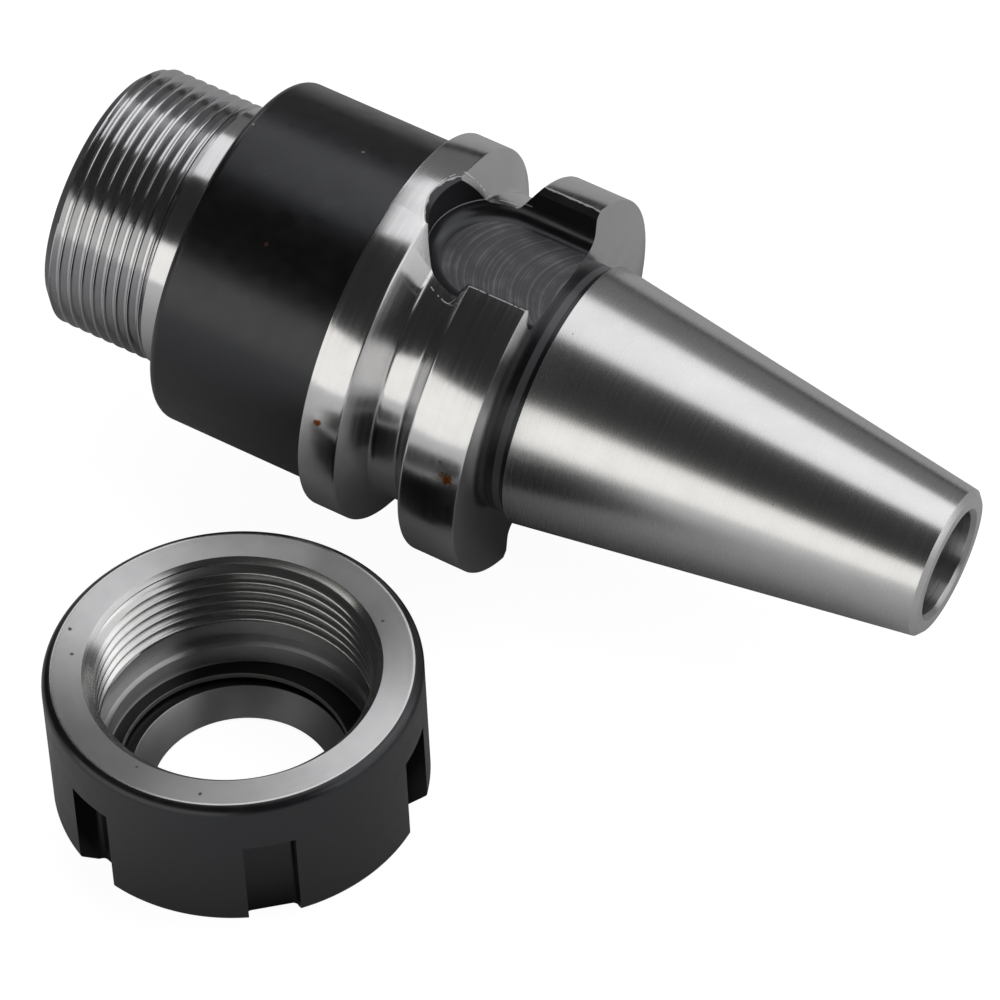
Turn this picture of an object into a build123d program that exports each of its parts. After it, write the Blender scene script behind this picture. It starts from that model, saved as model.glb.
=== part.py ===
from build123d import *
import os
from math import atan, cos, degrees, radians, sin, sqrt, tan

# A collet chuck holder in two turned pieces: the arbor, which a milling spindle pulls in
# by its steep taper, and the clamping nut, unscrewed and standing on its front face.
# Frame: the origin is the centre of the arbor's gauge line, +Z is up, and +X is level, on the
# side of the taper's small end. The arbor is modelled about the X axis and then laid down
# as it comes to rest, with the small end a few degrees lower. Millimetres throughout.

# Spindle taper: the ground cone of 7 in 24, measured from the gauge line at X = 0
gauge_diameter = 31.75
taper_rate = 7 / 24
taper_length = 48.4
taper_start = 0.3
small_end_chamfer = 0.6
relief_diameter = 30.3

# Bore at the small end: the pull stud's guide bore, then the hole for its thread
guide_bore_diameter = 12.5
guide_bore_depth = 7.0
guide_bore_chamfer = 0.5
stud_thread_diameter = 12.0
stud_thread_length = 18.0
drill_point_angle = 118

# Flange: two rings with the tool changer's V groove between them
flange_diameter = 46.0
flange_gap = 2.0
flange_thickness = 20.0
flange_edge_break = 0.25
flange_rear_chamfer = 0.45
groove_centre = 13.2
groove_floor_width = 3.4
groove_floor_diameter = 37.6
groove_flank_angle = 30

# Drive slots: milled from the rear face, with the cutter's round run-out in the front ring
slot_width = 16.1
slot_floor_radius = 16.3
slot_reach = 18.1
slot_corner_radius = 1.8
slot_edge_chamfer = 0.75
slot_count = 2

# Body and nose: the nose carries the thread of the clamping nut
body_diameter = 42.0
body_shoulder = 42.8
body_round = 1.2
gauge_length = 60.0
neck_length = 3.6
nose_thread_diameter = 32.0
nose_thread_pitch = 1.5
nose_chamfer = 1.4
external_thread_depth = 0.6134 * nose_thread_pitch

# Collet socket: a cone with a half angle of 8 degrees, opening at the nose
socket_mouth_diameter = 26.0
socket_half_angle = 8
socket_length = 27.0
socket_mouth_chamfer = 0.4
socket_relief_diameter = 18.8
socket_relief_length = 9.0
coolant_hole_diameter = 7.0

# Clamping nut
nut_diameter = 42.0
nut_height = 20.2
nut_thread_length = 10.2
nut_thread_clearance = 0.05
nut_top_round = 1.2
nut_mouth_chamfer = 0.5
nut_front_bevel = 2.5
nut_undercut_depth = 0.4
nut_step_height = 7.4
nut_step_chamfer = 0.4
nut_band_diameter = 30.2
nut_ledge_height = 4.6
nut_exit_diameter = 20.4
nut_exit_chamfer = 0.3
nut_cone_angle = 30
nut_cone_height = 3.5
nut_lip_thickness = 0.6
nut_lip_diameter = 25.6
nut_lip_offset = 0.7
nut_lip_least_width = 0.4
nut_lip_direction = 190
nut_slot_count = 6
nut_slot_width = 5.8
nut_slot_floor_radius = 17.7
nut_slot_height = 14.0
nut_slot_corner_radius = 0.6
nut_slot_turn = 10

# Where the nut stands, from the gauge line's centre
nut_x = -13.45
nut_y = -52.55

# Radii and stations that follow from the sizes above
gauge_radius = gauge_diameter / 2
flange_radius = flange_diameter / 2
body_radius = body_diameter / 2
flange_rear = -flange_gap
flange_front = flange_rear - flange_thickness
nose_radius = nose_thread_diameter / 2
nose_core_radius = nose_radius - external_thread_depth
nose_face = -gauge_length
neck_end = -body_shoulder - neck_length
shared_cut = 0.5


def taper_radius(station):
    """The cone's radius at a distance from the gauge line towards the small end."""
    return gauge_radius - station * taper_rate / 2


# At rest the lower drive slot faces the ground. The front ring touches it just past the
# slot's round end, the rear ring touches it with both edges of the slot, and because the
# slot takes the bottom off the rear ring, the arbor tips until the taper's end is lower.
slot_half_width = slot_width / 2
slot_edge_height = sqrt(flange_radius**2 - (slot_half_width + slot_edge_chamfer) ** 2)
front_contact_x = -slot_reach - slot_edge_chamfer
rear_contact_x = flange_rear - flange_rear_chamfer
rest_slope = (flange_radius - slot_edge_height) / (rear_contact_x - front_contact_x)
rest_tilt = degrees(atan(rest_slope))
floor_z = -front_contact_x * sin(radians(rest_tilt)) - flange_radius * cos(radians(rest_tilt))
arbor_place = Location((0, 0, 0), (0, rest_tilt, 0))

# The arbor is turned from one bar: shank, flange, body and nose are one outline.
small_end_radius = taper_radius(taper_length)
relief_radius = relief_diameter / 2
groove_floor_radius = groove_floor_diameter / 2
groove_half_floor = groove_floor_width / 2
groove_half_mouth = groove_half_floor + (flange_radius - groove_floor_radius) * tan(
    radians(groove_flank_angle)
)
groove_rear = -groove_centre + groove_half_mouth
groove_front = -groove_centre - groove_half_mouth
edge = flange_edge_break
nose_edge_radius = nose_radius - nose_chamfer
nose_edge_length = max(nose_core_radius - nose_edge_radius, 0.1)

with BuildPart() as chuck_arbor:
    with BuildSketch(Plane.XZ) as arbor_outline:
        with BuildLine():
            Polyline(
                (nose_face, 0),
                (nose_face, nose_edge_radius),
                (nose_face + nose_edge_length, nose_core_radius),
                (neck_end, nose_core_radius),
                (neck_end, nose_radius),
                (-body_shoulder, nose_radius),
                (-body_shoulder, body_radius - body_round),
            )
            RadiusArc(
                (-body_shoulder, body_radius - body_round),
                (-body_shoulder + body_round, body_radius),
                body_round,
            )
            Polyline(
                (-body_shoulder + body_round, body_radius),
                (flange_front, body_radius),
                (flange_front, flange_radius - edge),
                (flange_front + edge, flange_radius),
                (groove_front - edge, flange_radius),
                (groove_front + edge / 2, flange_radius - edge),
                (-groove_centre - groove_half_floor, groove_floor_radius),
                (-groove_centre + groove_half_floor, groove_floor_radius),
                (groove_rear - edge / 2, flange_radius - edge),
                (groove_rear + edge, flange_radius),
                (flange_rear - flange_rear_chamfer, flange_radius),
                (flange_rear, flange_radius - flange_rear_chamfer),
                (flange_rear, relief_radius),
                (taper_start, relief_radius),
                (taper_start, taper_radius(taper_start)),
                (
                    taper_length - small_end_chamfer,
                    taper_radius(taper_length - small_end_chamfer),
                ),
                (taper_length, small_end_radius - small_end_chamfer),
                (taper_length, 0),
                (nose_face, 0),
            )
        make_face()
    revolve(axis=Axis.X)

    # Collet socket, its relief and the coolant hole, bored from the nose
    socket_deep_radius = socket_mouth_diameter / 2 - socket_length * tan(
        radians(socket_half_angle)
    )
    socket_end = nose_face + socket_length
    relief_end = socket_end + socket_relief_length
    with BuildSketch(Plane.XZ) as socket_outline:
        with BuildLine():
            Polyline(
                (nose_face, 0),
                (nose_face, socket_mouth_diameter / 2 + socket_mouth_chamfer),
                (nose_face + socket_mouth_chamfer, socket_mouth_diameter / 2),
                (socket_end, socket_deep_radius),
                (socket_end, socket_relief_diameter / 2),
                (relief_end, socket_relief_diameter / 2),
                (relief_end, 0),
                (nose_face, 0),
            )
        make_face()
    revolve(axis=Axis.X, mode=Mode.SUBTRACT)

    # Guide bore and thread hole of the pull stud, drilled from the small end
    guide_radius = guide_bore_diameter / 2
    thread_hole_radius = stud_thread_diameter / 2
    thread_hole_end = taper_length - guide_bore_depth - stud_thread_length
    drill_point_length = thread_hole_radius / tan(radians(drill_point_angle / 2))
    with BuildSketch(Plane.XZ) as stud_bore_outline:
        with BuildLine():
            Polyline(
                (taper_length, 0),
                (taper_length, guide_radius + guide_bore_chamfer),
                (taper_length - guide_bore_chamfer, guide_radius),
                (taper_length - guide_bore_depth, guide_radius),
                (taper_length - guide_bore_depth, thread_hole_radius),
                (thread_hole_end, thread_hole_radius),
                (thread_hole_end - drill_point_length, 0),
                (taper_length, 0),
            )
        make_face()
    revolve(axis=Axis.X, mode=Mode.SUBTRACT)

    # Coolant hole that joins the two bores
    with BuildSketch(Plane.YZ.offset(relief_end - shared_cut)) as coolant_section:
        Circle(coolant_hole_diameter / 2)
    extrude(amount=thread_hole_end - relief_end + shared_cut, mode=Mode.SUBTRACT)

# A drive slot is cut by an end mill that comes in at the rear face. The mill's corner
# radius stays between the slot's floor and its walls, and the top edges are chamfered.
run_out_x = -slot_reach + slot_half_width
slot_straight = flange_rear - run_out_x
side_chamfer_start = slot_edge_height - slot_edge_chamfer
end_chamfer_start = flange_radius - slot_edge_chamfer
with BuildPart() as slot_cutter:
    with BuildSketch(Plane.XY.offset(slot_floor_radius)) as slot_plan:
        with Locations((run_out_x, 0)):
            Circle(slot_half_width)
        with Locations((run_out_x + slot_straight / 2 + shared_cut / 2, 0)):
            Rectangle(slot_straight + shared_cut, slot_width)
    extrude(amount=flange_radius - slot_floor_radius + shared_cut)
    fillet(
        slot_cutter.faces().sort_by(Axis.Z)[0].edges().filter_by(
            lambda side: side.center().X < flange_rear
        ),
        slot_corner_radius,
    )

    # Chamfer along both sides of the slot in the rear ring
    with BuildSketch(Plane.XY.offset(side_chamfer_start)) as side_chamfers:
        with Locations((run_out_x + slot_straight / 2 + shared_cut / 2, 0)):
            Rectangle(slot_straight + shared_cut, slot_width)
    extrude(amount=flange_radius - side_chamfer_start, taper=-45)

    # Chamfer round the slot's end in the front ring
    with BuildSketch(Plane.XY.offset(end_chamfer_start)) as end_chamfer:
        with Locations((run_out_x, 0)):
            Circle(slot_half_width)
    extrude(amount=slot_edge_chamfer + shared_cut, taper=-45)

with BuildPart() as arbor_cuts:
    add(chuck_arbor.part)
    for turn in range(slot_count):
        add(
            slot_cutter.part.rotate(Axis.X, turn * 360 / slot_count),
            mode=Mode.SUBTRACT,
        )

with BuildPart() as laid_arbor:
    add(arbor_cuts.part.moved(arbor_place))
laid_arbor.part.label = "chuck_arbor"

# The nut is turned and threaded from one bar. Its section is drawn upwards from the
# front face, which is the face that it stands on.
nut_radius = nut_diameter / 2
nut_bore_radius = nose_radius + nut_thread_clearance
nut_undercut_radius = nut_bore_radius + nut_undercut_depth
nut_thread_start = nut_height - nut_thread_length
nut_exit_radius = nut_exit_diameter / 2
nut_cone_radius = nut_exit_radius + nut_cone_height * tan(radians(nut_cone_angle))
nut_lip_base = nut_ledge_height - nut_lip_thickness
nut_groove_radius = nut_lip_diameter / 2 + nut_lip_offset + nut_lip_least_width
nut_lip_blank_radius = nut_lip_diameter / 2 - nut_lip_offset - shared_cut
nut_place = Location((nut_x, nut_y, floor_z))

with BuildPart() as nut_blank:
    with BuildSketch(Plane.XZ) as nut_outline:
        with BuildLine():
            Polyline(
                (nut_exit_radius + nut_exit_chamfer, 0),
                (nut_radius - nut_front_bevel, 0),
                (nut_radius, nut_front_bevel),
                (nut_radius, nut_height - nut_top_round),
            )
            RadiusArc(
                (nut_radius, nut_height - nut_top_round),
                (nut_radius - nut_top_round, nut_height),
                -nut_top_round,
            )
            Polyline(
                (nut_radius - nut_top_round, nut_height),
                (nut_bore_radius + nut_mouth_chamfer, nut_height),
                (nut_bore_radius, nut_height - nut_mouth_chamfer),
                (nut_bore_radius, nut_thread_start),
                (nut_undercut_radius, nut_thread_start - nut_undercut_depth),
                (nut_undercut_radius, nut_step_height),
                (nut_band_diameter / 2 + nut_step_chamfer, nut_step_height),
                (nut_band_diameter / 2, nut_step_height - nut_step_chamfer),
                (nut_band_diameter / 2, nut_ledge_height),
                (nut_lip_blank_radius, nut_ledge_height),
                (nut_lip_blank_radius, nut_lip_base),
                (nut_groove_radius, nut_lip_base),
                (nut_groove_radius, nut_cone_height),
                (nut_cone_radius, nut_cone_height),
                (nut_exit_radius, nut_exit_chamfer),
                (nut_exit_radius + nut_exit_chamfer, 0),
            )
        make_face()
    revolve(axis=Axis.Z)

    # The extraction lip is bored off centre, so it stands out most on one side.
    lip_x = nut_lip_offset * cos(radians(nut_lip_direction))
    lip_y = nut_lip_offset * sin(radians(nut_lip_direction))
    with BuildSketch(Plane.XY.offset(nut_lip_base - shared_cut / 10)) as lip_section:
        with Locations((lip_x, lip_y)):
            Circle(nut_lip_diameter / 2)
    extrude(amount=nut_lip_thickness + shared_cut / 5, mode=Mode.SUBTRACT)

    # Spanner slots, open at the front face
    slot_depth = nut_radius - nut_slot_floor_radius
    with BuildSketch(Plane.XY) as spanner_slots:
        with PolarLocations(
            nut_slot_floor_radius + slot_depth, nut_slot_count, start_angle=nut_slot_turn
        ):
            RectangleRounded(2 * slot_depth, nut_slot_width, nut_slot_corner_radius)
    extrude(amount=nut_slot_height, mode=Mode.SUBTRACT)

with BuildPart() as clamping_nut:
    add(nut_blank.part.moved(nut_place))
clamping_nut.part.label = "clamping_nut"

os.makedirs("parts", exist_ok=True)
export_step(laid_arbor.part, "parts/chuck_arbor.step")
export_step(clamping_nut.part, "parts/clamping_nut.step")
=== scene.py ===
import math
import bpy
from mathutils import Matrix, Vector


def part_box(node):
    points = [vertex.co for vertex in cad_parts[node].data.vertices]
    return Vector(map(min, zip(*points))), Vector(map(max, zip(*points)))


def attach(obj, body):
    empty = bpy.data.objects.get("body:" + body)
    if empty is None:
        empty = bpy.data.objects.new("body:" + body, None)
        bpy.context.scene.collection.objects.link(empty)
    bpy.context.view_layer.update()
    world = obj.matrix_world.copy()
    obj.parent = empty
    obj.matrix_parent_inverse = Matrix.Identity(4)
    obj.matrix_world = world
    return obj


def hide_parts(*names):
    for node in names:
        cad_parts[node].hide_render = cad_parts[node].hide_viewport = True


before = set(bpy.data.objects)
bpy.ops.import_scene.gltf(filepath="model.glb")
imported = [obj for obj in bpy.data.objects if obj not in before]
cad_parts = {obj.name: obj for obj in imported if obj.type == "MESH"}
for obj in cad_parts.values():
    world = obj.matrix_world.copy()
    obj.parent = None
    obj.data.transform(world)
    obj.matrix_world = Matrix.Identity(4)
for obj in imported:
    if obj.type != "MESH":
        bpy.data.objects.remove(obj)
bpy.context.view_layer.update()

# The arbor blank: one bar of case hardened steel, turned between centres and bored from both
# ends. Its section is drawn as a line beside the axis, the corners are broken as a file
# breaks them, and the line is spun about the axis. The nose stays open for its thread.
mm = 0.001
turning_steps = 256
same_place = 1e-6
gauge_radius = 15.875
taper_rate = 7 / 24
taper_start = 0.3
taper_chamfer = 47.8
taper_end = 48.4
flange_radius = 23.0
flange_front = -22.0
flange_rear = -2.0
groove_floor_radius = 18.8
relief_radius = 15.15
body_radius = 21.0
body_front = -42.8
nose_face = -60.0
nose_edge_radius = 14.6
neck_start = -46.4
nose_radius = 16.0
hole_radius = 6.25
hole_thread_radius = 6.0
hole_thread_start = 41.4
hole_bottom = 21.898
coolant_radius = 3.5
socket_back = -24.0
socket_start = -33.0
socket_relief_radius = 9.4
edge_break = 0.06


def taper_radius(station):
    """The radius of the steep taper, in millimetres, at a distance from its gauge line."""
    return gauge_radius - station * taper_rate / 2


def draw_outline(name, corners):
    """A line of edges through corners given as (x, z) in millimetres, drawn corner by corner."""
    bpy.ops.object.select_all(action="DESELECT")
    bpy.ops.mesh.primitive_circle_add(vertices=3, radius=mm)
    outline = bpy.context.object
    outline.name = name
    bpy.ops.object.mode_set(mode="EDIT")
    bpy.ops.mesh.select_mode(type="VERT")
    bpy.ops.mesh.select_all(action="SELECT")
    bpy.ops.mesh.merge(type="CENTER")
    bpy.ops.transform.translate(value=(corners[0][0] * mm, 0, corners[0][1] * mm))
    for (x, z), (next_x, next_z) in zip(corners, corners[1:]):
        step = ((next_x - x) * mm, 0, (next_z - z) * mm)
        bpy.ops.mesh.extrude_vertices_move(TRANSFORM_OT_translate={"value": step})
    bpy.ops.object.mode_set(mode="OBJECT")
    return outline


def break_corners(outline, corners, size, segments=3):
    """Rounds these corners of an outline, by a size in millimetres."""
    wanted = [Vector((x * mm, 0, z * mm)) for x, z in corners]
    bpy.ops.object.mode_set(mode="EDIT")
    bpy.ops.mesh.select_mode(type="VERT")
    bpy.ops.mesh.select_all(action="DESELECT")
    bpy.ops.object.mode_set(mode="OBJECT")
    for vertex in outline.data.vertices:
        vertex.select = any((vertex.co - corner).length < same_place for corner in wanted)
    bpy.ops.object.mode_set(mode="EDIT")
    bpy.ops.mesh.bevel(offset=size * mm, segments=segments, affect="VERTICES")
    bpy.ops.object.mode_set(mode="OBJECT")


def clean_up(piece):
    """Welds what coincides and turns every face outwards."""
    bpy.context.view_layer.objects.active = piece
    bpy.ops.object.mode_set(mode="EDIT")
    bpy.ops.mesh.select_all(action="SELECT")
    bpy.ops.mesh.remove_doubles(threshold=2 * same_place)
    bpy.ops.mesh.normals_make_consistent(inside=False)
    bpy.ops.object.mode_set(mode="OBJECT")


def spin_outline(outline, axis, rise=0.0, turns=1):
    """Spins an outline about the X or the Z axis, with no rise or as a screw that rises in mm."""
    spin = outline.modifiers.new("spin", "SCREW")
    spin.axis = axis
    spin.angle = 2 * math.pi
    spin.screw_offset = rise * mm
    spin.iterations = turns
    spin.steps = turning_steps
    spin.render_steps = turning_steps
    bpy.ops.object.modifier_apply(modifier=spin.name)
    clean_up(outline)


neck_corner = (body_front, nose_radius)
body_front_corner = (body_front, body_radius)
body_rear_corner = (flange_front, body_radius)
ring_front_corner = (flange_front, flange_radius)
groove_corners = [(-17.325, flange_radius), (-9.075, flange_radius)]
groove_floor_corners = [(-14.9, groove_floor_radius), (-11.5, groove_floor_radius)]
ring_rear_corner = (flange_rear, flange_radius)
relief_corners = [(flange_rear, relief_radius), (taper_start, relief_radius)]
taper_start_corner = (taper_start, taper_radius(taper_start))
taper_chamfer_corner = (taper_chamfer, taper_radius(taper_chamfer))
small_end_corner = (taper_end, taper_radius(taper_end) - 0.6)
hole_mouth_corners = [(taper_end, 6.75), (47.9, hole_radius)]
hole_corners = [(hole_thread_start, hole_radius), (hole_thread_start, hole_thread_radius)]
hole_end_corners = [(23.4, hole_thread_radius), (hole_bottom, coolant_radius)]
socket_relief_corners = [(socket_back, coolant_radius), (socket_back, socket_relief_radius)]
socket_corners = [(socket_start, socket_relief_radius), (socket_start, 9.205)]
mouth_corners = [(-59.6, 13.0), (nose_face, 13.4)]

arbor = draw_outline(
    "chuck_arbor_turned",
    [(neck_start, nose_radius), neck_corner, body_front_corner, body_rear_corner]
    + [ring_front_corner, groove_corners[0]]
    + groove_floor_corners
    + [groove_corners[1], ring_rear_corner]
    + relief_corners
    + [taper_start_corner, taper_chamfer_corner, small_end_corner]
    + hole_mouth_corners
    + hole_corners
    + hole_end_corners
    + socket_relief_corners
    + socket_corners
    + mouth_corners
    + [(nose_face, nose_edge_radius)],
)
break_corners(arbor, [body_front_corner], size=1.2, segments=8)
break_corners(arbor, [ring_front_corner] + groove_corners, size=0.25)
break_corners(arbor, [ring_rear_corner], size=0.2, segments=2)
break_corners(arbor, groove_floor_corners, size=0.5, segments=4)
break_corners(arbor, [taper_start_corner, small_end_corner], size=edge_break)
break_corners(arbor, hole_mouth_corners + mouth_corners, size=edge_break)
spin_outline(arbor, "X")

# The nose thread, M32 with a pitch of 1.5 mm: a helix cut with a threading tool in one
# setting with the nose. One pitch of its form is screwed along the axis. Its ends are then
# taken back to the chamfer of the nose and run out into the plain neck.
pitch = 1.5
outer_depth_share = 0.6134
inner_depth_share = 0.5413
thread_depth = outer_depth_share * pitch
crest_flat = pitch / 8
root_flat = pitch / 6
flank_steps = 4
crest_break = 0.05
run_out_length = 1.1


def thread_form(start, root_radius, depth):
    """One pitch of a thread's form, from root to root, as (along, out) points in millimetres."""
    flank = (pitch - crest_flat - root_flat) / 2
    crest = root_radius + depth
    points = [(0, root_radius), (root_flat / 2, root_radius)]
    for step in range(1, flank_steps):
        share = step / flank_steps
        points.append((root_flat / 2 + share * flank, root_radius + share * depth))
    crest_start = root_flat / 2 + flank
    inward = crest_break if depth > 0 else -crest_break
    points.append((crest_start - crest_break / 2, crest - inward))
    points.append((crest_start + crest_break, crest))
    mirrored = [(pitch - along, out) for along, out in reversed(points)]
    return [(start + along, out) for along, out in points + mirrored]


def screw_form(name, form, axis, length):
    """Screws a thread's form along the X or the Z axis, by whole turns that cover a length."""
    corners = form if axis == "X" else [(out, along) for along, out in form]
    strip = draw_outline(name, corners)
    spin_outline(strip, axis, rise=pitch, turns=math.ceil(length / pitch) + 1)
    return strip


def trim_thread(strip, axis, start, end, fit_radius):
    """Brings a thread's ends back to two level circles and its radius to what fit_radius allows."""
    along_index, out_indices = (0, (1, 2)) if axis == "X" else (2, (0, 1))
    for vertex in strip.data.vertices:
        along = min(max(vertex.co[along_index] / mm, start), end)
        vertex.co[along_index] = along * mm
        radius = math.hypot(*(vertex.co[index] for index in out_indices)) / mm
        for index in out_indices:
            vertex.co[index] *= fit_radius(along, radius) / radius
    clean_up(strip)


def nose_thread_radius(along, radius):
    """The thread inside the nose's chamfer, and running out into the neck."""
    to_neck = (neck_start - along) / run_out_length
    if to_neck < 1:
        return max(radius, nose_radius - thread_depth * to_neck)
    return min(radius, nose_edge_radius + along - nose_face)


def join(pieces):
    """Makes one mesh of several, welded where they meet."""
    bpy.ops.object.select_all(action="DESELECT")
    for piece in pieces:
        piece.select_set(True)
    bpy.context.view_layer.objects.active = pieces[0]
    bpy.ops.object.join()
    clean_up(pieces[0])


nose_thread = screw_form(
    "nose_thread",
    thread_form(nose_face - pitch, nose_radius - thread_depth, thread_depth),
    "X",
    neck_start - nose_face,
)
trim_thread(nose_thread, "X", nose_face, neck_start, nose_thread_radius)
join([arbor, nose_thread])

# Finishes of the arbor. The bar is blackened all over in a hot oxide bath first. The taper,
# the flange and the nose are then ground or turned bright, and the bores are turned inside.
# Tool lines lie a few hundredths of a millimetre apart, and are drawn coarser so that they show.
rest_tilt = math.radians(6.091)
arbor_axes = (0, -math.pi / 2 - rest_tilt, 0)
noise_low = 0.3
noise_high = 0.7
out_of_reach = 100.0
slack = 0.01
hole_finish_radius = 6.8


def from_hex(value):
    """A linear colour from an sRGB hex value."""
    channels = [int(value[i : i + 2], 16) / 255 for i in (1, 3, 5)]
    linear = [c / 12.92 if c <= 0.04045 else ((c + 0.055) / 1.055) ** 2.4 for c in channels]
    return (*linear, 1)


def add(material, kind, sockets, **settings):
    """Adds a node with its settings, its values and its links."""
    tree = material.node_tree
    made = tree.nodes.new(kind)
    for name, value in settings.items():
        setattr(made, name, value)
    for socket, value in sockets.items():
        if isinstance(value, bpy.types.NodeSocket):
            tree.links.new(value, made.inputs[socket])
        else:
            made.inputs[socket].default_value = value
    return made


def new_material(name):
    """An empty material with its shader and its output, and the shader."""
    material = bpy.data.materials.new(name)
    material.use_nodes = True
    return material, material.node_tree.nodes["Principled BSDF"]


def lathe_axes(material, turn, shift):
    """Where a point lies on a turned piece, in mm: along its axis, out from it and round it."""
    place = add(material, "ShaderNodeTexCoord", {}).outputs["Object"]
    own = add(material, "ShaderNodeMapping", {"Vector": place, "Rotation": turn, "Location": shift})
    scaled = add(material, "ShaderNodeVectorMath", {0: own.outputs[0], "Scale": 1 / mm}, operation="SCALE")
    parts = add(material, "ShaderNodeSeparateXYZ", {0: scaled.outputs[0]}).outputs
    flat = add(material, "ShaderNodeCombineXYZ", {0: parts[0], 1: parts[1]}).outputs[0]
    out = add(material, "ShaderNodeVectorMath", {0: flat}, operation="LENGTH").outputs["Value"]
    angle = add(material, "ShaderNodeMath", {0: parts[1], 1: parts[0]}, operation="ARCTAN2").outputs[0]
    own_round = add(material, "ShaderNodeVectorMath", {0: (0, 0, 1), 1: flat}, operation="CROSS_PRODUCT")
    sockets = {"Vector": own_round.outputs[0], "Rotation": turn}
    settings = {"rotation_type": "EULER_XYZ", "invert": True}
    turned_back = add(material, "ShaderNodeVectorRotate", sockets, **settings).outputs[0]
    axes = {"place": scaled.outputs[0], "along": parts[2], "out": out, "angle": angle}
    return axes | {"round": turned_back}


def tool_lines(material, axes, width, breaks):
    """Noise drawn out round the axis, as a tool or a grinding wheel leaves it, width in mm."""
    slow = add(material, "ShaderNodeMath", {0: axes["angle"], 1: breaks}, operation="MULTIPLY").outputs[0]
    spun = add(material, "ShaderNodeCombineXYZ", {0: axes["out"], 1: slow, 2: axes["along"]}).outputs[0]
    sockets = {"Vector": spun, "Scale": 1 / width, "Detail": 3.0, "Roughness": 0.6}
    return add(material, "ShaderNodeTexNoise", sockets).outputs["Fac"]


def streak(material, shader, axes, amount):
    """Draws the shine out across the tool's lines, as fine grooves round the axis do."""
    material.node_tree.links.new(axes["round"], shader.inputs["Tangent"])
    shader.inputs["Anisotropic"].default_value = amount
    shader.inputs["Anisotropic Rotation"].default_value = 0.25


def mark(material, mask, colour, metal):
    """Covers a finish with another colour where a mask is 1, as metal (1) or not (0)."""
    tree = material.node_tree
    shader = tree.nodes["Principled BSDF"]
    under = shader.inputs["Base Color"].links[0].from_socket
    mixed = add(material, "ShaderNodeMix", {0: mask, 6: under, 7: from_hex(colour)}, data_type="RGBA")
    tree.links.new(mixed.outputs[2], shader.inputs["Base Color"])
    was_metal = shader.inputs["Metallic"].default_value
    sockets = {"Value": mask, "To Min": was_metal, "To Max": metal}
    tree.links.new(add(material, "ShaderNodeMapRange", sockets).outputs[0], shader.inputs["Metallic"])


def spots(material, axes, places, size, colour):
    """Small spots with ragged edges at places on a piece, by their size in mm: rust or bruises."""
    grain = add(material, "ShaderNodeTexNoise", {"Vector": axes["place"], "Scale": 2.2, "Detail": 4.0})
    nearest = out_of_reach
    for place in places:
        far = add(material, "ShaderNodeVectorMath", {0: axes["place"], 1: place}, operation="DISTANCE")
        sockets = {0: nearest, 1: far.outputs["Value"]}
        nearest = add(material, "ShaderNodeMath", sockets, operation="MINIMUM").outputs[0]
    sockets = {0: grain.outputs["Fac"], 1: size, 2: nearest}
    ragged = add(material, "ShaderNodeMath", sockets, operation="MULTIPLY_ADD").outputs[0]
    sockets = {"Value": ragged, "From Min": 0.75 * size, "From Max": 1.05 * size}
    sockets |= {"To Min": 1.0, "To Max": 0.0}
    mark(material, add(material, "ShaderNodeMapRange", sockets).outputs[0], colour, 0.0)


def pits(material, axes, spacing, size, share, colour):
    """Sparse small dark pits, one in each share of cells that are spacing mm wide."""
    sockets = {"Vector": axes["place"], "Scale": 1 / spacing}
    cells = add(material, "ShaderNodeTexVoronoi", sockets).outputs
    chosen = add(material, "ShaderNodeSeparateColor", {0: cells["Color"]}).outputs[0]
    largest = size / spacing / 2
    sockets = {0: chosen, 1: largest / share}
    reach = add(material, "ShaderNodeMath", sockets, operation="MULTIPLY").outputs[0]
    sockets = {0: reach, 1: largest * (1 / share - 1)}
    reach = add(material, "ShaderNodeMath", sockets, operation="SUBTRACT").outputs[0]
    mask = add(material, "ShaderNodeMath", {0: reach, 1: cells["Distance"]}, operation="GREATER_THAN")
    mark(material, mask.outputs[0], colour, 0.6)


def turned_steel(name, place, colours, roughness, width, depth, drawn_out=0.7):
    """Bright machined steel: two tones, lines of width mm in its shine, a grain of depth mm."""
    material, shader = new_material(name)
    axes = lathe_axes(material, *place)
    lines = tool_lines(material, axes, width, breaks=0.15)
    grain = add(material, "ShaderNodeTexNoise", {"Vector": axes["place"], "Scale": 2.2, "Detail": 2.0})
    clouds = add(material, "ShaderNodeTexNoise", {"Vector": axes["place"], "Scale": 0.35, "Detail": 4.0})
    sockets = {0: clouds.outputs["Fac"], 6: from_hex(colours[0]), 7: from_hex(colours[1])}
    tone = add(material, "ShaderNodeMix", sockets, data_type="RGBA")
    sockets = {"Value": lines, "From Min": noise_low, "From Max": noise_high}
    sockets |= {"To Min": roughness[0], "To Max": roughness[1]}
    spread = add(material, "ShaderNodeMapRange", sockets)
    sockets = {"Height": grain.outputs["Fac"], "Strength": 0.5, "Distance": depth * mm}
    bump = add(material, "ShaderNodeBump", sockets)
    tree = material.node_tree
    tree.links.new(tone.outputs[2], shader.inputs["Base Color"])
    tree.links.new(spread.outputs["Result"], shader.inputs["Roughness"])
    tree.links.new(bump.outputs["Normal"], shader.inputs["Normal"])
    shader.inputs["Metallic"].default_value = 1.0
    streak(material, shader, axes, drawn_out)
    return material, axes


arbor_place = (arbor_axes, (0, 0, 0))


def on_arbor(radius, station, degrees):
    """A place on the arbor, in its own mm, at an angle counted from its far side over the top."""
    angle = math.radians(degrees)
    return (-radius * math.sin(angle), radius * math.cos(angle), station)


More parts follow.
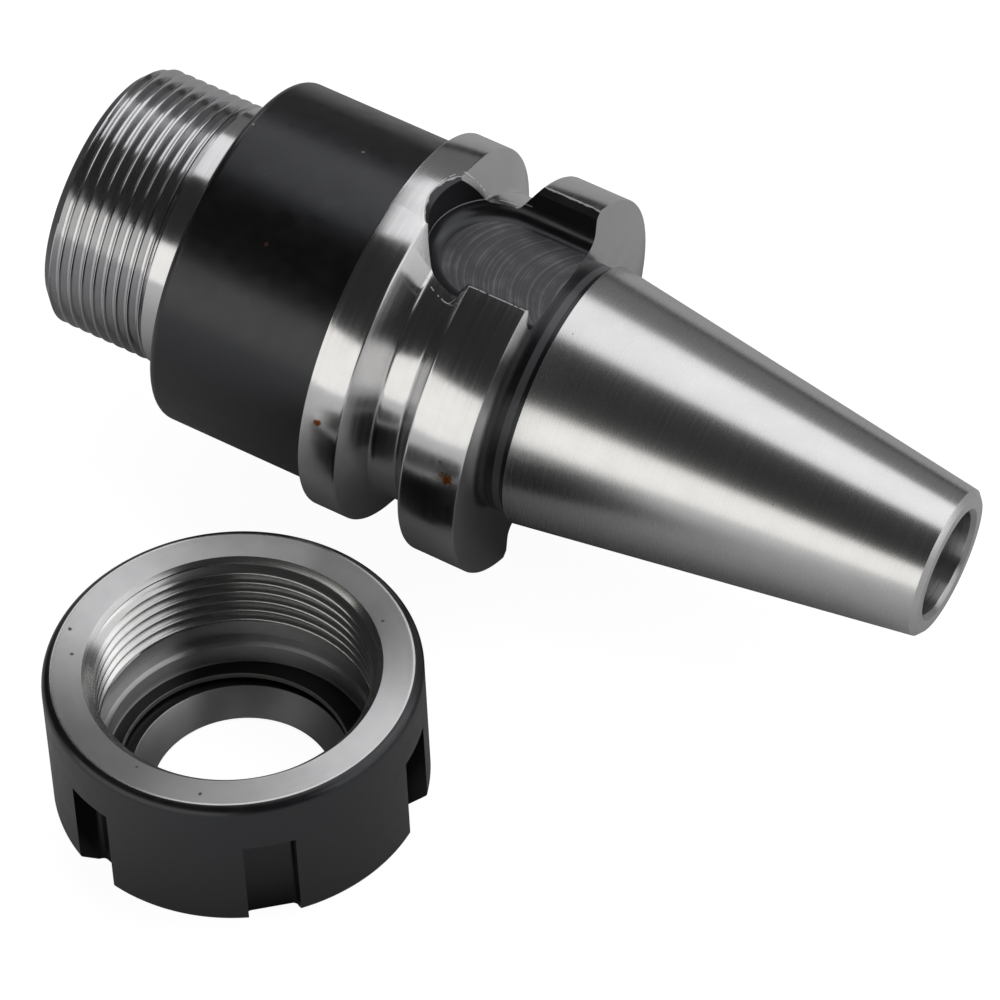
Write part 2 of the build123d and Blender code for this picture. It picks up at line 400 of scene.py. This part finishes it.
# Steel ground between centres: fine lines round the axis, a soft, even shine and a few pits
ground_taper, taper_axes = turned_steel(
    "ground_steel",
    arbor_place,
    colours=("#d6d6d6", "#c8c8c9"),
    roughness=(0.265, 0.28),
    width=0.3,
    depth=0.0008,
    drawn_out=0.5,
)
pits(ground_taper, taper_axes, spacing=1.5, size=0.2, share=0.25, colour="#6b6762")
# Steel turned with a sharp tool and polished: a brighter shine, small rust spots on the rings,
# and a painted highlight, a thin near-white glint line along the edges of the drive slots
turned_bright, ring_axes = turned_steel(
    "turned_steel",
    arbor_place,
    colours=("#d2d2d3", "#c2c2c4"),
    roughness=(0.17, 0.24),
    width=0.3,
    depth=0.0015,
)
pits(turned_bright, ring_axes, spacing=2.0, size=0.18, share=0.2, colour="#5b5650")
spots(turned_bright, ring_axes, [on_arbor(flange_radius, -3.7, 166.6)], size=2.2, colour="#96806c")
ring_rust = [on_arbor(flange_radius, -3.49, 166.9), on_arbor(flange_radius, -20.0, 167.4)]
spots(turned_bright, ring_axes, ring_rust, size=1.1, colour="#84481c")
spots(turned_bright, ring_axes, [on_arbor(flange_radius, -4.76, 162.3)], size=0.5, colour="#a08468")
slot_half_width = 8.05
slot_reach = -18.1
slot_edge = 0.75
run_out_x = slot_reach + slot_half_width
glint_line_start = slot_half_width + slot_edge
glint_line_width = 0.12
glint_break_level = 0.47


def from_slot(material, axes):
    """How far a place is from the middle of the drive slots, in mm, round their end as well."""
    parts = add(material, "ShaderNodeSeparateXYZ", {0: axes["place"]}).outputs
    sockets = {0: axes["along"], 1: run_out_x}
    past_end = add(material, "ShaderNodeMath", sockets, operation="SUBTRACT").outputs[0]
    past_end = add(material, "ShaderNodeMath", {0: past_end, 1: 0.0}, operation="MINIMUM").outputs[0]
    level = add(material, "ShaderNodeCombineXYZ", {0: past_end, 1: parts[1]}).outputs[0]
    return add(material, "ShaderNodeVectorMath", {0: level}, operation="LENGTH").outputs["Value"]


def band(material, value, start, end):
    """A mask that is 1 where a value lies between two limits, both in mm."""
    sockets = {0: value, 1: (start + end) / 2, 2: (end - start) / 2}
    return add(material, "ShaderNodeMath", sockets, operation="COMPARE").outputs[0]


# Painted highlight: a thin near-white, half-metal line, broken by noise, along the slot edges on the rings
# stands for the glint of the edge
painted_glint_line = band(turned_bright, from_slot(turned_bright, ring_axes), glint_line_start, glint_line_start + glint_line_width)
sockets = {"Vector": ring_axes["place"], "Scale": 1.2, "Detail": 4.0}
glint_noise = add(turned_bright, "ShaderNodeTexNoise", sockets).outputs["Fac"]
glint_broken = add(turned_bright, "ShaderNodeMath", {0: glint_noise, 1: glint_break_level}, operation="GREATER_THAN")
sockets = {0: ring_axes["along"], 1: flange_rear - 5 * slack}
on_ring_side = add(turned_bright, "ShaderNodeMath", sockets, operation="LESS_THAN")
sockets = {0: glint_broken.outputs[0], 1: on_ring_side.outputs[0]}
glint_part = add(turned_bright, "ShaderNodeMath", sockets, operation="MULTIPLY").outputs[0]
painted_glint = add(turned_bright, "ShaderNodeMath", {0: painted_glint_line, 1: glint_part}, operation="MULTIPLY").outputs[0]
mark(turned_bright, painted_glint, colour="#e4e4e4", metal=0.3)
# Thread flanks from the threading tool: they shine more than the ground steel
thread_steel, _ = turned_steel(
    "thread_cut_steel",
    arbor_place,
    colours=("#cececf", "#bcbcbf"),
    roughness=(0.15, 0.22),
    width=0.2,
    depth=0.001,
    drawn_out=0.4,
)
# Bored steel: duller, with the boring bar's lines
bored_steel, _ = turned_steel(
    "bored_steel",
    arbor_place,
    colours=("#b4b4b5", "#9f9fa1"),
    roughness=(0.26, 0.36),
    width=0.3,
    depth=0.003,
)


def black_oxide(name, place):
    """Hot black oxide on turned steel: a thin dark skin with a satin shine, a little mottled."""
    material, shader = new_material(name)
    axes = lathe_axes(material, *place)
    lines = tool_lines(material, axes, width=0.3, breaks=0.6)
    clouds = add(material, "ShaderNodeTexNoise", {"Vector": axes["place"], "Scale": 0.5, "Detail": 5.0})
    sockets = {0: clouds.outputs["Fac"], 6: from_hex("#0b0b0c"), 7: from_hex("#151517")}
    tone = add(material, "ShaderNodeMix", sockets, data_type="RGBA")
    sockets = {"Value": clouds.outputs["Fac"], "From Min": noise_low, "From Max": noise_high}
    sockets |= {"To Min": 0.27, "To Max": 0.36}
    spread = add(material, "ShaderNodeMapRange", sockets)
    bump = add(material, "ShaderNodeBump", {"Height": lines, "Strength": 0.4, "Distance": 0.002 * mm})
    tree = material.node_tree
    tree.links.new(tone.outputs[2], shader.inputs["Base Color"])
    tree.links.new(spread.outputs["Result"], shader.inputs["Roughness"])
    tree.links.new(bump.outputs["Normal"], shader.inputs["Normal"])
    shader.inputs["Specular Tint"].default_value = from_hex("#f6f8ff")
    shader.inputs["IOR"].default_value = 1.56
    streak(material, shader, axes, amount=0.4)
    return material, axes


arbor_black, black_axes = black_oxide("black_oxide", arbor_place)
# Where the chamfers of the slots meet the turned rings, a burr of bare steel shines through
worn_start = 0.08
worn_full = 0.16
sockets = {"Vector": black_axes["place"], "Scale": 0.9, "Detail": 5.0}
worn_noise = add(arbor_black, "ShaderNodeTexNoise", sockets).outputs["Fac"]
sockets = {0: worn_noise, 1: 0.5, 2: black_axes["out"]}
worn_out = add(arbor_black, "ShaderNodeMath", sockets, operation="MULTIPLY_ADD").outputs[0]
sockets = {"Value": worn_out, "From Min": flange_radius + worn_start, "From Max": flange_radius + worn_full}
mark(arbor_black, add(arbor_black, "ShaderNodeMapRange", sockets).outputs[0], colour="#c9c9ca", metal=1.0)
# The land in the relief behind the taper is turned after blackening, so its skin is thin and grey
relief_land_start = -1.35
relief_land_end = -0.45
relief_land = band(arbor_black, black_axes["along"], relief_land_start, relief_land_end)
mark(arbor_black, relief_land, colour="#545457", metal=0.8)
# A painted highlight: a bright line round the slot's end, at the top of its corner radius, where the
# rounded corner catches the light
fillet_highlight_bottom = 18.0
fillet_highlight_top = 18.18
black_parts = add(arbor_black, "ShaderNodeSeparateXYZ", {0: black_axes["place"]}).outputs
from_middle = add(arbor_black, "ShaderNodeMath", {0: black_parts[0]}, operation="ABSOLUTE").outputs[0]
at_fillet_highlight = band(arbor_black, from_middle, fillet_highlight_bottom, fillet_highlight_top)
in_end = band(arbor_black, black_axes["along"], slot_reach - 10 * slack, run_out_x)
painted_fillet_highlight = add(arbor_black, "ShaderNodeMath", {0: at_fillet_highlight, 1: in_end}, operation="MULTIPLY").outputs[0]
mark(arbor_black, painted_fillet_highlight, colour="#a9a9ad", metal=0.5)
# Scuffs and a small rust spot on the body
body_scuffs = [on_arbor(body_radius, -41.81, 89.4), on_arbor(body_radius, -29.24, 81.4)]
spots(arbor_black, black_axes, body_scuffs, size=0.4, colour="#8a8682")
spots(arbor_black, black_axes, [on_arbor(body_radius, -33.03, 124.6)], size=0.5, colour="#4a2e22")


def milled_floor(name, place, run_out):
    """Blackened floor of a milled slot, with the arcs that the end of the mill left on it."""
    material, shader = new_material(name)
    axes = lathe_axes(material, *place)
    parts = add(material, "ShaderNodeSeparateXYZ", {0: axes["place"]}).outputs
    square = add(material, "ShaderNodeMath", {0: parts[1], 1: 2.0}, operation="POWER").outputs[0]
    rest = add(material, "ShaderNodeMath", {0: run_out**2, 1: square}, operation="SUBTRACT").outputs[0]
    bulge = add(material, "ShaderNodeMath", {0: rest, 1: 0.5}, operation="POWER").outputs[0]
    arc = add(material, "ShaderNodeMath", {0: parts[2], 1: bulge}, operation="ADD").outputs[0]
    spun = add(material, "ShaderNodeCombineXYZ", {0: arc, 1: 0.0}).outputs[0]
    sockets = {"Vector": spun, "Scale": 1.9, "Detail": 6.0, "Roughness": 0.8}
    arcs = add(material, "ShaderNodeTexNoise", sockets).outputs["Fac"]
    clouds = add(material, "ShaderNodeTexNoise", {"Vector": axes["place"], "Scale": 0.45, "Detail": 5.0})
    sockets = {0: clouds.outputs["Fac"], 1: 0.25, 2: arcs}
    mixed = add(material, "ShaderNodeMath", sockets, operation="MULTIPLY_ADD").outputs[0]
    sockets = {"Value": mixed, "From Min": 0.62, "From Max": 0.82}
    level = add(material, "ShaderNodeMapRange", sockets).outputs[0]
    sockets = {0: level, 6: from_hex("#4c4c50"), 7: from_hex("#848489")}
    tone = add(material, "ShaderNodeMix", sockets, data_type="RGBA")
    bump = add(material, "ShaderNodeBump", {"Height": arcs, "Strength": 0.6, "Distance": 0.03 * mm})
    tree = material.node_tree
    tree.links.new(tone.outputs[2], shader.inputs["Base Color"])
    tree.links.new(bump.outputs["Normal"], shader.inputs["Normal"])
    shader.inputs["Metallic"].default_value = 0.4
    shader.inputs["Roughness"].default_value = 0.48
    return material


# Mill marks on the blackened floor of the drive slots: the real arcs lie closer than these
slot_floor_finish = milled_floor("milled_black_oxide", arbor_place, slot_half_width + 0.1)


def place_finishes(piece, finishes, finish_of):
    """Gives each face of a piece the finish that finish_of names for its place and normal."""
    names = list(finishes)
    for name in names:
        piece.data.materials.append(finishes[name])
    for face in piece.data.polygons:
        face.material_index = names.index(finish_of(face.center / mm, face.normal))


def arbor_finish(centre, normal):
    """Which finish a face of the arbor has, from its place before the arbor is laid down."""
    out = math.hypot(centre.y, centre.z)
    outward = (normal.y * centre.y + normal.z * centre.z) / out
    if centre.x < neck_start and out > nose_edge_radius - 1:
        # Painted shade: the nose's chamfer gets the black finish, standing for the dark band that the
        # shaded chamfer shows
        on_chamfer = abs(out - nose_edge_radius - centre.x + nose_face) < 3 * slack
        chamfer_end = nose_face + nose_radius - nose_edge_radius
        return "black" if on_chamfer and centre.x < chamfer_end else "thread"
    in_hole = centre.x > hole_bottom and out < hole_finish_radius
    in_socket = centre.x < socket_back + 1 and outward < 0 and out < nose_edge_radius
    if in_hole or in_socket:
        return "bore"
    if centre.x < body_front + slack and out <= nose_radius + slack:
        return "turned"
    if centre.x < flange_front - slack or out < coolant_radius + slack:
        return "black"
    if centre.x < flange_rear + slack:
        return "turned" if out > relief_radius + slack else "black"
    return "black" if centre.x < taper_start + slack else "ground"


arbor_finishes = {
    "ground": ground_taper,
    "turned": turned_bright,
    "thread": thread_steel,
    "bore": bored_steel,
    "black": arbor_black,
    "slot floor": slot_floor_finish,
}
place_finishes(arbor, arbor_finishes, arbor_finish)

# Drive slots: two slots milled from the rear face with an end mill of 16.1 mm, which leaves a
# round end, a small corner radius and arcs on the floor. Their edges are chamfered.
slot_floor = 16.3
slot_corner = 1.8
slot_open_end = 4.0
slot_top = 26.0
mill_steps = 128
side_chamfer_start = math.sqrt(flange_radius**2 - (slot_half_width + slot_edge) ** 2) - slot_edge
end_chamfer_start = flange_radius - slot_edge


def round_edges(piece, wanted, size, segments):
    """Rounds the edges of a piece whose two ends, in mm, pass a test."""
    bpy.context.view_layer.objects.active = piece
    bpy.ops.object.mode_set(mode="EDIT")
    bpy.ops.mesh.select_mode(type="EDGE")
    bpy.ops.mesh.select_all(action="DESELECT")
    bpy.ops.object.mode_set(mode="OBJECT")
    for edge in piece.data.edges:
        edge.select = wanted(*(piece.data.vertices[index].co / mm for index in edge.vertices))
    bpy.ops.object.mode_set(mode="EDIT")
    bpy.ops.mesh.bevel(offset=size * mm, segments=segments, affect="EDGES")
    bpy.ops.object.mode_set(mode="OBJECT")
    clean_up(piece)


def end_mill_space():
    """What the mill takes out above the axis: a round end, straight sides, a rounded floor edge."""
    bpy.ops.object.select_all(action="DESELECT")
    bpy.ops.mesh.primitive_circle_add(
        vertices=mill_steps,
        radius=slot_half_width * mm,
        location=(run_out_x * mm, 0, slot_floor * mm),
        fill_type="NGON",
    )
    space = bpy.context.object
    bpy.ops.object.transform_apply(location=True)
    for vertex in space.data.vertices:
        if vertex.co.x > (run_out_x + slack) * mm:
            vertex.co.y = math.copysign(slot_half_width * mm, vertex.co.y)
            vertex.co.x = slot_open_end * mm
    clean_up(space)
    bpy.ops.object.mode_set(mode="EDIT")
    bpy.ops.mesh.select_all(action="SELECT")
    rise = (0, 0, (slot_top - slot_floor) * mm)
    bpy.ops.mesh.extrude_region_move(TRANSFORM_OT_translate={"value": rise})
    bpy.ops.object.mode_set(mode="OBJECT")
    round_edges(space, lambda a, b: max(a.z, b.z) < slot_floor + slack, slot_corner, segments=6)
    return space


def side_chamfer_space():
    """A trough whose sides lean out at 45 degrees, for the chamfer along the slot's sides."""
    bpy.ops.object.select_all(action="DESELECT")
    bpy.ops.mesh.primitive_plane_add(
        size=2 * slot_half_width * mm, location=(run_out_x * mm, 0, side_chamfer_start * mm)
    )
    space = bpy.context.object
    bpy.ops.object.transform_apply(location=True)
    length = slot_open_end - run_out_x
    for vertex in space.data.vertices:
        vertex.co.x = (run_out_x + (length if vertex.co.x > run_out_x * mm else 0)) * mm
    bpy.ops.object.mode_set(mode="EDIT")
    bpy.ops.mesh.select_all(action="SELECT")
    rise = slot_top - side_chamfer_start
    bpy.ops.mesh.extrude_region_move(TRANSFORM_OT_translate={"value": (0, 0, rise * mm)})
    spread = ((length + 2 * rise) / length, (slot_half_width + rise) / slot_half_width, 1)
    middle = ((run_out_x + length / 2) * mm, 0, slot_top * mm)
    bpy.ops.transform.resize(value=spread, center_override=middle)
    bpy.ops.object.mode_set(mode="OBJECT")
    clean_up(space)
    return space


def end_chamfer_space():
    """A cone that opens upwards, for the chamfer round the slot's end."""
    rise = slot_top - end_chamfer_start
    bpy.ops.object.select_all(action="DESELECT")
    bpy.ops.mesh.primitive_cone_add(
        vertices=mill_steps,
        radius1=slot_half_width * mm,
        radius2=(slot_half_width + rise) * mm,
        depth=rise * mm,
        location=(run_out_x * mm, 0, (end_chamfer_start + rise / 2) * mm),
    )
    space = bpy.context.object
    bpy.ops.object.transform_apply(location=True)
    clean_up(space)
    return space


def turn_mesh(piece, matrix):
    """Turns or moves a piece's own mesh, so that its object stays at the origin."""
    piece.data.transform(matrix)
    piece.data.update()


def copies_round(space, axis, count, first=0.0):
    """The space and its copies, spaced evenly round an axis, as one mesh."""
    spaces = []
    for turn in range(count):
        copy = space.copy()
        copy.data = space.data.copy()
        bpy.context.scene.collection.objects.link(copy)
        turn_mesh(copy, Matrix.Rotation(first + turn * 2 * math.pi / count, 4, axis))
        spaces.append(copy)
    bpy.data.objects.remove(space)
    join(spaces)
    return spaces[0]


def cut_away(piece, space):
    """Takes a space out of a piece. Its faces bring the finish with the same number."""
    cut = piece.modifiers.new("cut", "BOOLEAN")
    cut.operation = "DIFFERENCE"
    cut.solver = "EXACT"
    cut.object = space
    bpy.context.view_layer.objects.active = piece
    bpy.ops.object.modifier_apply(modifier=cut.name)
    bpy.data.objects.remove(space)


def slot_finish(centre, normal):
    """Which finish a face of a slot's space leaves behind: mill marks on the floor alone."""
    return "slot floor" if abs(centre.z - slot_floor) < slack else "black"


for make_space in (end_mill_space, side_chamfer_space, end_chamfer_space):
    slot_space = make_space()
    place_finishes(slot_space, arbor_finishes, slot_finish)
    cut_away(arbor, copies_round(slot_space, "X", 2))


smooth_angle = math.radians(28)


def finish_piece(piece, node):
    """Lays a finished piece down for good: smooth but for its edges, and riding on the frame."""
    bpy.ops.object.select_all(action="DESELECT")
    piece.select_set(True)
    bpy.context.view_layer.objects.active = piece
    bpy.ops.object.shade_smooth_by_angle(angle=smooth_angle)
    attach(piece, "root")
    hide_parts(node)


# The arbor lies on its flange with a slot downwards, so the small end hangs a little lower.
turn_mesh(arbor, Matrix.Rotation(rest_tilt, 4, "Y"))
finish_piece(arbor, "chuck_arbor")

# The clamping nut: turned and threaded from one bar, with six spanner slots milled in its side
# and an extraction lip bored off centre. It is blackened, then its rear face is turned bright.
nut_x = -13.45
nut_y = -52.55
nut_radius = 21.0
nut_height = 20.2
nut_bore = 16.05
nut_thread_bottom = 10.0
nut_thread_top = 19.7
nut_thread_depth = inner_depth_share * pitch + crest_break
nut_round = 1.2
undercut_radius = 16.45
undercut_top = 9.6
undercut_bottom = 7.4
ledge_radius = 15.1
ledge_height = 4.6
lip_radius = 12.8
lip_bottom = 4.0
lip_offset = 0.7
lip_direction = math.radians(190)
groove_radius = 13.9
cone_top = 3.5
cone_bottom = 0.3
floor_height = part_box("clamping_nut")[0].z / mm

nut_front_corners = [(18.5, 0.0), (nut_radius, 2.5)]
nut_top_corner = (nut_radius, nut_height)
nut_undercut_corners = [(undercut_radius, undercut_top), (undercut_radius, undercut_bottom)]
nut_step_corners = [(15.5, undercut_bottom), (ledge_radius, 7.0)]
nut_lip_corners = [(lip_radius, ledge_height), (lip_radius, lip_bottom)]
nut_groove_corners = [(groove_radius, lip_bottom), (groove_radius, cone_top)]
nut_cone_corners = [(12.22, cone_top), (10.2, cone_bottom)]
nut_mouth_corner = (16.55, nut_height)
nut = draw_outline(
    "clamping_nut_turned",
    [(nut_bore, nut_thread_bottom)]
    + nut_undercut_corners
    + nut_step_corners
    + [(ledge_radius, ledge_height)]
    + nut_lip_corners
    + nut_groove_corners
    + nut_cone_corners
    + [(10.5, 0.0)]
    + nut_front_corners
    + [nut_top_corner, nut_mouth_corner, (nut_bore, nut_thread_top)],
)
break_corners(nut, [nut_top_corner], size=nut_round, segments=8)
break_corners(nut, nut_front_corners, size=0.3)
break_corners(nut, [nut_cone_corners[0], nut_mouth_corner] + nut_step_corners, size=edge_break)
spin_outline(nut, "Z")
lip_centre = (lip_offset * math.cos(lip_direction), lip_offset * math.sin(lip_direction), 0)
for vertex in nut.data.vertices:
    at_lip = lip_bottom - slack < vertex.co.z / mm < ledge_height + slack
    if at_lip and abs(math.hypot(vertex.co.x, vertex.co.y) / mm - lip_radius) < slack:
        vertex.co.x += lip_centre[0] * mm
        vertex.co.y += lip_centre[1] * mm


def nut_thread_radius(along, radius):
    """The thread outside the mouth's chamfer and outside that of the undercut."""
    return max(radius, nut_bore - (nut_thread_top - along), nut_bore - (along - nut_thread_bottom))


nut_thread = screw_form(
    "nut_thread",
    thread_form(nut_thread_bottom - pitch, nut_bore, -nut_thread_depth),
    "Z",
    nut_thread_top - nut_thread_bottom,
)
trim_thread(nut_thread, "Z", nut_thread_bottom, nut_thread_top, nut_thread_radius)
join([nut, nut_thread])

nut_place = ((0, 0, 0), (-nut_x * mm, -nut_y * mm, -floor_height * mm))
# The bright rear face and the bores, turned with fine even lines that draw the shine far out
nut_face_steel, face_axes = turned_steel(
    "faced_steel",
    nut_place,
    colours=("#c6c6c7", "#b2b2b4"),
    roughness=(0.34, 0.4),
    width=0.3,
    depth=0.001,
    drawn_out=0.97,
)
pits(nut_face_steel, face_axes, spacing=1.8, size=0.2, share=0.2, colour="#55514c")
# The nut's thread, cut in the same setting: its flanks shine more than the face
nut_thread_steel, _ = turned_steel(
    "nut_thread_steel",
    nut_place,
    colours=("#c0c0bf", "#afafaf"),
    roughness=(0.2, 0.25),
    width=0.25,
    depth=0.0002,
    drawn_out=0.4,
)
# The cone that presses on the collet, ground after blackening: a satin shine
nut_cone_steel, _ = turned_steel(
    "ground_cone_steel",
    nut_place,
    colours=("#c9c9ca", "#b4b4b6"),
    roughness=(0.36, 0.44),
    width=0.25,
    depth=0.001,
    drawn_out=0.6,
)
nut_black, nut_axes = black_oxide("nut_black_oxide", nut_place)
# Inside the nut the edges of the ledge and of the lip are worn bare, and painted lighter as thin highlight
# lines
worn_highlight_width = 0.18
lip_highlight_start = lip_radius - 0.05
ledge_highlight_end = ledge_radius + 0.02
sockets = {0: nut_axes["place"], 1: (1, 1, 0)}
level_place = add(nut_black, "ShaderNodeVectorMath", sockets, operation="MULTIPLY").outputs[0]
sockets = {0: level_place, 1: lip_centre}
from_lip = add(nut_black, "ShaderNodeVectorMath", sockets, operation="DISTANCE").outputs["Value"]
# Part wear, part painted highlight: light half-metal lines on the edges in the dark of the recess
lip_edge = band(nut_black, from_lip, lip_highlight_start, lip_highlight_start + worn_highlight_width)
ledge_edge = band(nut_black, nut_axes["out"], ledge_highlight_end - worn_highlight_width, ledge_highlight_end)
sockets = {0: lip_edge, 1: ledge_edge}
worn_and_highlit_edges = add(nut_black, "ShaderNodeMath", sockets, operation="MAXIMUM").outputs[0]
sockets = {0: nut_axes["along"], 1: (lip_bottom + cone_top) / 2}
above_groove = add(nut_black, "ShaderNodeMath", sockets, operation="GREATER_THAN").outputs[0]
sockets = {0: worn_and_highlit_edges, 1: above_groove}
worn_and_highlit = add(nut_black, "ShaderNodeMath", sockets, operation="MULTIPLY").outputs[0]
mark(nut_black, worn_and_highlit, colour="#b9b7b4", metal=0.7)


def on_ring(radius, degrees):
    """A place on the nut's rear face, in its own mm."""
    angle = math.radians(degrees)
    return (radius * math.cos(angle), radius * math.sin(angle), nut_height)


# Bruises on the rear face, from a spanner or a drop on the bench
ring_bruises = [(19.04, -170.3), (17.81, -159.3), (18.6, -70.7), (17.57, 49.3), (17.39, -96.2)]
spots(nut_face_steel, face_axes, [on_ring(*place) for place in ring_bruises], size=0.45, colour="#4b4845")


def nut_finish(centre, normal):
    """Which finish a face of the nut has, from its place before the nut is set down."""
    out = math.hypot(centre.x, centre.y)
    outward = (normal.x * centre.x + normal.y * centre.y) / out
    if centre.z > nut_height - 2 * slack and out < nut_radius - nut_round:
        return "face"
    if outward > 0.1 or centre.z < cone_bottom - slack:
        return "black"
    if centre.z < cone_top - slack:
        return "cone"
    if centre.z < ledge_height + slack:
        return "black"
    return "thread" if centre.z > undercut_top else "face"


nut_finishes = {
    "face": nut_face_steel,
    "thread": nut_thread_steel,
    "cone": nut_cone_steel,
    "black": nut_black,
}
place_finishes(nut, nut_finishes, nut_finish)

# The spanner slots, milled open at the front face that the nut stands on
spanner_slot_count = 6
spanner_slot_width = 5.8
spanner_slot_floor = 17.7
spanner_slot_height = 14.0
spanner_slot_corner = 0.6
first_spanner_slot = math.radians(10)
bpy.ops.object.select_all(action="DESELECT")
bpy.ops.mesh.primitive_cube_add(size=mm)
spanner_slot = bpy.context.object
spanner_slot_depth = nut_radius - spanner_slot_floor
spanner_slot.scale = (2 * spanner_slot_depth, spanner_slot_width, 2 * spanner_slot_height)
spanner_slot.location = (nut_radius * mm, 0, 0)
bpy.ops.object.transform_apply(location=True, scale=True)
round_edges(spanner_slot, lambda a, b: abs(a.z - b.z) > slack, spanner_slot_corner, segments=4)
place_finishes(spanner_slot, nut_finishes, lambda centre, normal: "black")
cut_away(nut, copies_round(spanner_slot, "Z", spanner_slot_count, first_spanner_slot))
turn_mesh(nut, Matrix.Translation((nut_x * mm, nut_y * mm, floor_height * mm)))
finish_piece(nut, "clamping_nut")

# The studio: a white table top without a visible edge. The camera sees it lit from within, as a
# light table is, with a trace of the pieces' shadow. In the steel it is a softer painted glow, brighter
# in front of the pieces than behind them, with a painted shadow that darkens it near and below them.
white = (1, 1, 1, 1)
table_size = 6
glow_to_camera = 0.95
glow_reach = {"From Min": -0.16, "From Max": 0.06}
glow_in_steel = {"To Min": 0.56, "To Max": 0.26}
shadow_reach = 0.1
shadow_strength = 2.2
bpy.ops.mesh.primitive_plane_add(size=table_size, location=(0, 0, floor_height * mm))
table = bpy.context.object
table.name = "studio_table"
# Matt white card
table_card, table_shader = new_material("white_table")
table_shader.inputs["Base Color"].default_value = from_hex("#868686")
table_shader.inputs["Roughness"].default_value = 0.9
table_shader.inputs["Specular IOR Level"].default_value = 0.0
rays = add(table_card, "ShaderNodeLightPath", {}).outputs
# Painted shadow: ambient occlusion darkens the glow that the steel sees, near and under the pieces
sockets = {"Distance": shadow_reach}
openness = add(table_card, "ShaderNodeAmbientOcclusion", sockets, samples=8).outputs["AO"]
sockets = {0: openness, 1: shadow_strength}
painted_contact_shadow = add(table_card, "ShaderNodeMath", sockets, operation="POWER").outputs[0]
sockets = {0: rays["Is Glossy Ray"], 1: painted_contact_shadow}
in_steel = add(table_card, "ShaderNodeMath", sockets, operation="MULTIPLY").outputs[0]
table_place = add(table_card, "ShaderNodeTexCoord", {}).outputs["Object"]
depth_in = add(table_card, "ShaderNodeSeparateXYZ", {0: table_place}).outputs[1]
sockets = {"Value": depth_in} | glow_reach | glow_in_steel
front_glow = add(table_card, "ShaderNodeMapRange", sockets).outputs[0]
sockets = {0: in_steel, 1: front_glow}
dimmed = add(table_card, "ShaderNodeMath", sockets, operation="MULTIPLY").outputs[0]
sockets = {0: rays["Is Camera Ray"], 1: glow_to_camera}
seen = add(table_card, "ShaderNodeMath", sockets, operation="MULTIPLY").outputs[0]
glow = add(table_card, "ShaderNodeMath", {0: seen, 1: dimmed}, operation="ADD").outputs[0]
table_card.node_tree.links.new(glow, table_shader.inputs["Emission Strength"])
table_shader.inputs["Emission Color"].default_value = white
table.data.materials.append(table_card)

# Light: a large soft box above and behind the pieces, a low warm strip in front, a panel at each
# side, a faint wall at the back and a dim room. The dark between the soft box and the strip
# gives the steel its long dark bands.
neutral = (1, 1, 1)
warm = (1, 0.985, 0.94)


def soft_panel(name, direction, distance, size, radiance, tint=neutral, aside=0.0):
    """A panel lamp, seen in a direction of azimuth and elevation, or moved aside of it in metres."""
    width, height = size
    data = bpy.data.lights.new(name, "AREA")
    data.shape = "RECTANGLE"
    data.size = width
    data.size_y = height
    data.energy = radiance * math.pi * width * height
    data.color = tint
    panel = bpy.data.objects.new(name, data)
    bpy.context.scene.collection.objects.link(panel)
    azimuth, elevation = (math.radians(angle) for angle in direction)
    level = math.cos(elevation)
    away = Vector((math.sin(azimuth) * level, math.cos(azimuth) * level, math.sin(elevation)))
    panel.location = away * distance + Vector((math.cos(azimuth), -math.sin(azimuth), 0)) * aside
    panel.rotation_mode = "QUATERNION"
    panel.rotation_quaternion = away.to_track_quat("Z", "Y")


soft_panel("top_box", direction=(0, 65), distance=1.2, size=(1.46, 1.02), radiance=1.25, aside=0.23)
soft_panel("front_strip", direction=(198, 15), distance=1.2, size=(2.2, 0.68), radiance=1.35, tint=warm)
soft_panel("right_panel", direction=(70, 25), distance=1.0, size=(1.3, 0.9), radiance=1.2)
soft_panel("left_panel", direction=(-48, 30), distance=1.2, size=(0.45, 0.6), radiance=1.3)
soft_panel("back_wall", direction=(0, 24), distance=1.6, size=(3.0, 0.9), radiance=0.15)
# Light goes to and fro between the threads of the nut more often than the default allows
bpy.context.scene.cycles.glossy_bounces = 10
world = bpy.data.worlds.new("studio")
bpy.context.scene.world = world
world.use_nodes = True
room = world.node_tree.nodes["Background"]
room.inputs["Color"].default_value = white
room.inputs["Strength"].default_value = 0.03
bpy.context.scene.view_settings.view_transform = "Standard"

# Camera: a long lens about 0.75 m from the pieces and above them, turned a little about its own
# line of sight. Its place and its directions were fitted to the outlines in the photo.
camera_data = bpy.data.cameras.new("camera")
camera_data.lens = 239.74
camera_data.sensor_width = 36
camera_data.clip_start = 0.05
camera = bpy.data.objects.new("camera", camera_data)
bpy.context.scene.collection.objects.link(camera)
look = Vector((-0.349474, 0.594505, -0.724177))
right = Vector((0.878921, 0.475785, -0.03356))
turned = Matrix((right, right.cross(look), -look)).transposed().to_4x4()
camera.matrix_world = Matrix.Translation((0.26068, -0.45946, 0.53788)) @ turned
bpy.context.scene.camera = camera
